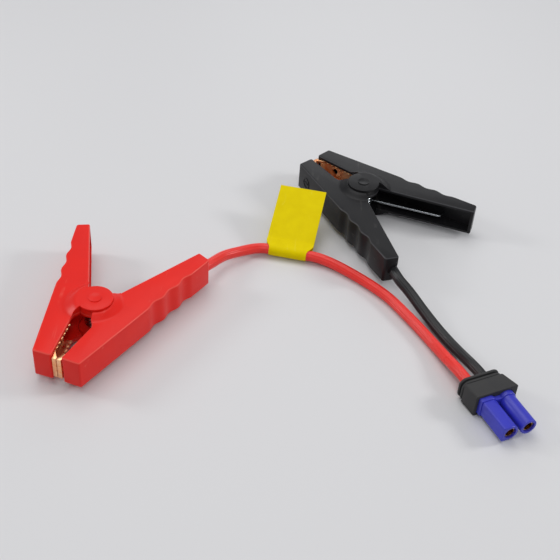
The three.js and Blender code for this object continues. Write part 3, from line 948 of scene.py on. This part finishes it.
def makeJaw(name, side):
    pitch, deep, proud = jawShape["toothPitch"], jawShape["toothDepth"], jawShape["proud"]
    root, tip = halfShape["jawRoot"], halfShape["noseTip"]
    gap, past = pivotShape["gap"], jawShape["toolReach"]
    half = cavityHalf - gap
    rear, front = jawShape["rear"], jawShape["seamFront"]
    back = front - jawShape["tip"]
    seam = math.tan(opening)
    corners = [(rear, jawEdge(rear) - proud)]
    steps = jawShape["toothSteps"]
    for index in range(jawShape["teeth"] * steps + 1):
        x = rear + jawShape["toothStart"] + index * pitch / steps
        wave = (1 - math.cos(2 * math.pi * index / steps)) / 2
        corners.append((x, jawEdge(x) - proud + deep * wave))
    wall = (halfShape["wall"] + gap) / math.cos(opening)
    wallBack = noseFace(tip[1]) - wall
    floorEdge = jawEdge(jawShape["floorEnd"]) + jawShape["depth"]
    corners += [
        (back, seam * back + gap / 2),
        (front, seam * front + gap / 2),
        (jawShape["tipCorner"], tip[1] - gap - jawShape["tipRoom"]),
        (wallBack, jawEdge(wallBack) - gap),
        (noseFace(floorEdge) - wall, floorEdge),
        (rear, jawEdge(rear) + jawShape["depth"]),
    ]
    channel = raiseOutline(name, [inClamp(x, y, side) for x, y in corners], -half, half)
    web = jawShape["depth"] - jawShape["sheet"]
    end = jawShape["insideEnd"]
    stepBack, stepIn = jawShape["insideStep"]
    inside = [
        (rear - past, jawEdge(rear - past) + web),
        (end, jawEdge(end) + web),
        (back - stepBack, jawEdge(back) - stepIn),
        (back, seam * back - past),
        (rear - past, -2 * past),
    ]
    sheet = half - jawShape["sheet"]
    carve(channel, raiseOutline("inside", [inClamp(x, y, side) for x, y in inside], -sheet, sheet))
    # notches across the tip close in a zigzag
    notchX, notchIn = jawShape["notchAt"]
    for index in (-1.5, -0.5, 0.5, 1.5):
        notch = raiseOutline("notch", [(-deep, 0), (1, -pitch / 2), (1, pitch / 2)], 0, 2 * past)
        across = (-side, 0, 0, -side * notchIn)
        upright = (0, -side, 0, index * pitch)
        carve(channel, applyPlace(notch, Matrix(((0, 0, 1, notchX), across, upright, (0, 0, 0, 1)))))
    holeX, holeY = inClamp(jawShape["holeAt"], jawEdge(jawShape["holeAt"]) + web, side)
    slope = math.atan2(tip[1] - root[1], tip[0] - root[0])
    bpy.ops.object.select_all(action="DESELECT")
    bpy.ops.mesh.primitive_cylinder_add(
        vertices=40, radius=jawShape["holeRadius"], depth=5, location=(holeX, holeY, 0),
        rotation=(math.radians(90), 0, side * (slope - opening)),
    )
    carve(channel, namedShape("hole"))
    return easeEdges(channel, jawShape["edge"])


def makeCrimp():
    low, high = jawShape["crimp"]
    bpy.ops.object.select_all(action="DESELECT")
    bpy.ops.mesh.primitive_cylinder_add(
        vertices=48, radius=sleeveRadius, depth=high - low, end_fill_type="NOTHING",
        location=((low + high) / 2, jawShape["cableLine"], 0), rotation=(0, math.radians(90), 0),
    )
    barrel = applyPlace(namedShape("crimp"), Matrix.Rotation(-opening, 4, "Z"))
    applyChange(barrel, "SOLIDIFY", thickness=jawShape["crimpWall"], offset=1)
    return easeEdges(barrel, jawShape["crimpEdge"])


cableJaw = joinShapes("cableJaw", makeJaw("cableJaw", 1), makeCrimp())
leverJaw = makeJaw("leverJaw", -1)
print("jaws pressed:", len(cableJaw.data.polygons), len(leverJaw.data.polygons), "faces")


# torsion spring: a coil screwed round the pin, then a leg drawn out of each end

springShape = {
    "wire": 1.8,
    "radius": 5.6,
    "turns": 3,
    "legHeight": {1: 4.3, -1: -3.4},
    "legSlope": 13.0,
    "legLength": 49.5,
    "foot": 5.1,
    "footBend": 70.0,
    "bendSteps": 6,
    "bendLength": 2.4,
    "bendTakes": (1.5, 1.6),  # taken off the leg and off the foot
}


def makeSpring():
    meet = math.radians(90 - springShape["legSlope"]) - opening
    radius, height = springShape["radius"], springShape["legHeight"]
    fromLeg, fromFoot = springShape["bendTakes"]
    straight = springShape["legLength"] - fromLeg
    bend, steps = math.radians(springShape["footBend"]), springShape["bendSteps"]
    endReach = springShape["wire"] / 2 + 0.2  # reaches all points of an open end
    bpy.ops.object.select_all(action="DESELECT")
    bpy.ops.mesh.primitive_circle_add(
        vertices=14, radius=springShape["wire"] / 2,
        location=(radius * math.cos(meet), -radius * math.sin(meet), height[-1]),
        rotation=(math.radians(90), 0, -meet),
    )
    coil = namedShape("spring")
    applyChange(
        coil, "SCREW", angle=2 * meet + springShape["turns"] * 2 * math.pi,
        screw_offset=height[1] - height[-1], steps=96, render_steps=96, use_normal_calculate=True,
    )
    for side in (-1, 1):
        along = Vector((-math.sin(meet), side * math.cos(meet), 0))
        outward = Vector((math.cos(meet), side * math.sin(meet), 0))
        centre = Vector((radius * math.cos(meet), side * radius * math.sin(meet), height[side]))
        bpy.ops.object.mode_set(mode="EDIT")
        bpy.ops.mesh.select_mode(type="VERT")
        bpy.ops.mesh.select_all(action="DESELECT")
        shape = bmesh.from_edit_mesh(coil.data)
        for edge in shape.edges:
            if edge.is_boundary and all((v.co - centre).length < endReach for v in edge.verts):
                edge.select_set(True)
        bmesh.update_edit_mesh(coil.data)
        bpy.ops.mesh.extrude_region_move(TRANSFORM_OT_translate={"value": along * straight})
        tip = centre + along * straight
        for step in range(steps):
            heading = bend * (step + 0.5) / steps
            move = along * math.cos(heading) + outward * math.sin(heading)
            move *= springShape["bendLength"] / steps
            bpy.ops.mesh.extrude_region_move(TRANSFORM_OT_translate={"value": move})
            tip += move
            bpy.ops.transform.rotate(
                value=side * bend / steps, orient_axis="Z", center_override=tip)
        move = (along * math.cos(bend) + outward * math.sin(bend)) * (springShape["foot"] - fromFoot)
        bpy.ops.mesh.extrude_region_move(TRANSFORM_OT_translate={"value": move})
        bpy.ops.mesh.edge_face_add()
        bpy.ops.object.mode_set(mode="OBJECT")
    faceOutward(coil)
    return coil


spring = makeSpring()
print("spring wound:", len(spring.data.polygons), "faces")


# negative sign on the black clamp's outer wall

markShape = {"ring": 3.6, "line": 0.6, "bar": (3.6, 0.8), "rise": 0.35, "sink": 0.3, "edge": 0.1, "at": 28.0}


def makeMinusMark():
    rise, sink = markShape["rise"], markShape["sink"]
    ring = roundBar("mark", markShape["ring"], -sink, rise)
    carve(ring, roundBar("inner", markShape["ring"] - markShape["line"], -1, 1))
    bpy.ops.object.select_all(action="DESELECT")
    bpy.ops.mesh.primitive_cube_add(size=1, location=(0, 0, rise / 2 - sink / 2))
    bpy.context.object.scale = (*markShape["bar"], rise + sink)
    mark = joinShapes("mark", ring, namedShape("markBar"))
    softenEdges(mark, markShape["edge"], 2, atHeight(rise))
    onWall = (0, 0, 1, halfShape["outerEdge"])
    stand = Matrix(((1, 0, 0, markShape["at"]), onWall, (0, -1, 0, 0), (0, 0, 0, 1)))
    return applyPlace(mark, Matrix.Rotation(-opening, 4, "Z") @ stand)


minusMark = makeMinusMark()


# both clamps in their places

clampPlaces = {
    "red": {"pivot": (-94.68, -59.06), "angle": -106.68, "plastic": redPlastic, "slot": "red_plastic"},
    "black": {"pivot": (49.14, 66.15), "angle": 135.4, "plastic": blackPlastic, "slot": "black_plastic"},
}
root = "clamps_and_cables"

for side, clamp in clampPlaces.items():
    x, y = clamp["pivot"]
    place = Matrix.Translation(Vector((x, y, pivotShape["discTop"])) * mm)
    place = place @ Matrix.Rotation(math.radians(clamp["angle"]), 4, "Z")
    lever, plastic, slotName = side + "_lever", clamp["plastic"], clamp["slot"]
    grip = copyOf(cableHalf, side + "CableHandle")
    if side == "black":
        grip = joinShapes("blackCableHandle", grip, copyOf(minusMark, "blackMark"))
    putInPlace(grip, place, plastic, root, [side + "_cable_handle"])
    grip = copyOf(leverHalf, side + "LeverHandle")
    putInPlace(grip, place, plastic, lever, [side + "_lever_handle"])
    jaw = copyOf(cableJaw, side + "CableJaw")
    putInPlace(jaw, place, copperPlate, root, [side + "_cable_jaw"])
    jaw = copyOf(leverJaw, side + "LeverJaw")
    putInPlace(jaw, place, copperPlate, lever, [side + "_lever_jaw"])
    coil = copyOf(spring, side + "Spring")
    putInPlace(coil, place, springSteel, None, [side + "_spring"], 60)
    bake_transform(coil)
    paint(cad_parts[side + "_pivot_pin"], springSteel)
for pattern in (cableHalf, leverHalf, cableJaw, leverJaw, spring, minusMark):
    bpy.data.objects.remove(pattern)
print("clamps placed")


# flag tag: one strip of vinyl, folded round the red cable and stuck to itself

tagShape = {
    "middle": (5.36, 17.1, 4.3),
    "angle": -9.43,
    "lean": 22.0,
    "width": 28.5,
    "neck": 22.5,
    "reach": 46.0,
    "sheet": 0.3,
    "leafGap": 0.19,
    "loop": 3.32,
    "pinch": 8.5,
    "neckAlong": (-1.0, 6.0),  # from the narrowest part to the full width
    "wrinkle": 0.10,
    "wrinkleReach": 5.0,
    "bow": 0.25,
    "across": 24,
}


def tagLine():
    reach, pinch, loop, leaf = (tagShape[key] for key in ("reach", "pinch", "loop", "leafGap"))
    touch = math.acos(loop / pinch)
    upper = [(reach - (reach - pinch) * step / 24, leaf) for step in range(25)]
    start = Vector((pinch, leaf))
    meet = Vector((loop * math.cos(touch), loop * math.sin(touch)))
    upper += [tuple(start.lerp(meet, step / 8)) for step in range(1, 8)]
    turns = [touch + (math.pi - touch) * step / 30 for step in range(30)]
    upper += [(loop * math.cos(turn), loop * math.sin(turn)) for turn in turns]
    lower = [(x, -y) for x, y in reversed(upper)]
    return [*upper, (-loop, 0), *lower]


def makeTag():
    line = tagLine()
    rows = len(line)
    neckStart, neckEnd = tagShape["neckAlong"]
    wrinkles, fades = tagShape["wrinkle"], tagShape["wrinkleReach"]
    bpy.ops.object.select_all(action="DESELECT")
    bpy.ops.mesh.primitive_grid_add(x_subdivisions=tagShape["across"], y_subdivisions=rows - 1, size=2)
    strip = namedShape("cableTag")
    for vertex in strip.data.vertices:
        column = vertex.co.x / 2
        along, lift = line[round((vertex.co.y + 1) / 2 * (rows - 1))]
        # the strip is cut narrower where it goes round the cable
        waist = min(1.0, max(0.0, (along - neckStart) / (neckEnd - neckStart)))
        waist = waist * waist * (3 - 2 * waist)
        width = tagShape["neck"] + (tagShape["width"] - tagShape["neck"]) * waist
        crease = noise.noise(Vector((column * 9, along * 0.5, 0)))
        wrinkle = crease * wrinkles * math.exp(-abs(along - fades) / fades)
        arch = math.sin(math.pi * min(1, max(0, along / tagShape["reach"])))
        bow = tagShape["bow"] * arch * (column * 2) ** 2
        vertex.co = Vector((column * width, along, lift + wrinkle + bow))
    applyChange(strip, "SOLIDIFY", thickness=tagShape["sheet"], offset=0)
    lean = Matrix.Rotation(math.radians(tagShape["lean"]), 4, "X")
    turn = Matrix.Rotation(math.radians(tagShape["angle"]), 4, "Z")
    length = sum(math.dist(a, b) for a, b in zip(line, line[1:]))
    return strip, Matrix.Translation(Vector(tagShape["middle"]) * mm) @ turn @ lean, length


vinyl = makeSurface("yellowVinyl", {
    "colour": (0.8, 0.64, 0.0),
    "patchColour": (0.75, 0.585, 0.0),
    "scratchColour": (0.9, 0.8, 0.12),
    "scratches": 0.3,
    "scratchSize": 500.0,
    "grainSize": 2400.0,
    "patchSize": 160.0,
    "roughness": (0.3, 0.42),
    "bump": 0.2,
    "bumpDepth": 0.0003,
    "bumpFrom": "Patches",
    "sockets": {"Specular IOR Level": 0.04},
})
tag, tagPlace, tagLength = makeTag()
putInPlace(tag, tagPlace, vinyl, root, ["cable_tag"], 50)
print(f"tag folded from a strip {tagLength:.1f} mm long")


# plug: x runs out through the prongs

plugShape = {
    "place": (109.45, -82.02, 7.0),
    "angle": -63.2,
    "high": 14.0,
    "rearHigh": 13.0,
    "wide": 25.4,
    "rearWide": 23.4,
    "skew": 1.8,
    "length": 14.8,
    "rib": 1.5,
    "ribGap": 1.1,
    "ribProud": 0.4,
    "ribRound": 4.0,
    "neckStart": 0.7,
    "neckInset": (2.0, 3.0),
    "neckRound": 3.0,
    # rounded edges of the boot
    "edges": {"long": 1.3, "front": 0.5, "back": 0.8, "rib": 0.6},
    "pocketRoom": 0.3,
    "pocketDepth": 2.5,
    "prongPitch": 11.0,
    "prongRadius": 4.6,
    "prongTip": 36.4,
    "prongEdge": 0.35,
    "squareRound": 0.8,
    "collarRadius": 5.2,
    "collarWaist": 1.3,
    "waistRound": 0.4,
    "collarOut": 2.4,
    "collarIn": 2.2,
    "socketRadius": 3.3,
    "socketDepth": 14.0,
}
prongMiddle = plugShape["prongPitch"] / 2


def blockCorners(wide, high, radius):
    x, y = wide / 2, high / 2
    return roundedCorners([(-x, -y, radius), (x, -y, radius), (x, y, radius), (-x, y, radius)])


def aside(points):
    return [(x - plugShape["skew"], y) for x, y in points]


def squareProng(radius):
    arc = [math.radians(90 - 6 * step) for step in range(31)]
    corners = [(radius * math.cos(a), radius * math.sin(a), 0) for a in arc]
    corners += [(-radius, y, plugShape["squareRound"]) for y in (-radius, radius)]
    return [(x - prongMiddle, y) for x, y in roundedCorners(corners)]


def roundProng(radius):
    steps = [2 * math.pi * step / 64 for step in range(64)]
    return [(prongMiddle + radius * math.cos(a), radius * math.sin(a)) for a in steps]


def prongPair(radius, low, high, front=0.0):
    pair = raiseOutline("plugHousing", squareProng(radius), low, high)
    second = raiseOutline("roundProng", roundProng(radius), low, high)
    for prong in (pair, second):
        if front:
            softenEdges(prong, front, 3, atHeight(high))
    return carve(pair, second, "UNION")


def collarPair(radius, low, end, front=0.0):
    pair = prongPair(radius, low, end, front)
    high = radius * plugShape["collarWaist"]
    outline = blockCorners(plugShape["prongPitch"], high, plugShape["waistRound"])
    waist = raiseOutline("waist", outline, low, end)
    if front:
        softenEdges(waist, front, 3, atHeight(end))
    return carve(pair, waist, "UNION")


def makeBoot():
    length, edges = plugShape["length"], plugShape["edges"]
    wide, high = plugShape["wide"], plugShape["high"]
    rearWide, rearHigh = plugShape["rearWide"], plugShape["rearHigh"]
    rib, nextRib = plugShape["rib"], plugShape["rib"] + plugShape["ribGap"]
    ribs = 2 * rib + plugShape["ribGap"]
    bpy.ops.object.select_all(action="DESELECT")
    bpy.ops.mesh.primitive_cube_add(size=1, location=(0, 0, (ribs + length) / 2))
    bpy.context.object.scale = (wide, high, length - ribs)
    boot = namedShape("plugBoot")
    pick(boot, "FACE", lambda face: face.normal.z < -0.9)
    bpy.ops.transform.resize(value=(rearWide / wide, rearHigh / high, 1), center_override=(0, 0, ribs))
    bpy.ops.transform.translate(value=(-plugShape["skew"], 0, 0))
    bpy.ops.object.mode_set(mode="OBJECT")
    softenEdges(boot, edges["long"], 4, lambda a, b: abs(a.z - b.z) > 5)
    softenEdges(boot, edges["front"], 3, atHeight(length))
    softenEdges(boot, edges["back"], 3, atHeight(ribs))
    outline = aside(blockCorners(rearWide + plugShape["ribProud"], rearHigh, plugShape["ribRound"]))
    for low in (0.0, nextRib):
        ring = raiseOutline("rib", outline, low, low + rib)
        softenEdges(ring, edges["rib"], 3, lambda a, b: abs(a.z - b.z) < 0.01)
        carve(boot, ring, "UNION")
    insetWide, insetHigh = plugShape["neckInset"]
    outline = aside(blockCorners(rearWide - insetWide, rearHigh - insetHigh, plugShape["neckRound"]))
    carve(boot, raiseOutline("neck", outline, plugShape["neckStart"], ribs + 1), "UNION")
    pocketRadius = plugShape["collarRadius"] + plugShape["pocketRoom"]
    pocket = collarPair(pocketRadius, length - plugShape["pocketDepth"], length + 1)
    return applyPlace(carve(boot, pocket), standUp)


def makeHousing():
    length, edge = plugShape["length"], plugShape["prongEdge"]
    tip, deep = plugShape["prongTip"], plugShape["socketDepth"]
    collarEnd = length + plugShape["collarOut"]
    housing = collarPair(plugShape["collarRadius"], length - plugShape["collarIn"], collarEnd, edge)
    carve(housing, prongPair(plugShape["prongRadius"], collarEnd - 1, tip, edge), "UNION")
    for y in (-prongMiddle, prongMiddle):
        socket = roundBar("socket", plugShape["socketRadius"], tip - deep, tip + 1, sides=64)
        socket.data.transform(Matrix.Translation((y, 0, 0)))
        carve(housing, socket)
    return applyPlace(housing, standUp)


plugPlace = Matrix.Translation(Vector(plugShape["place"]) * mm)
plugPlace = plugPlace @ Matrix.Rotation(math.radians(plugShape["angle"]), 4, "Z")
boot = putInPlace(makeBoot(), plugPlace, bootRubber, root, ["plug_boot"])
housing = putInPlace(makeHousing(), plugPlace, blueNylon, root, ["plug_housing"])
for node in ("plug_contact_red", "plug_contact_black"):
    paint(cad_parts[node], goldContact)
print("plug assembled")
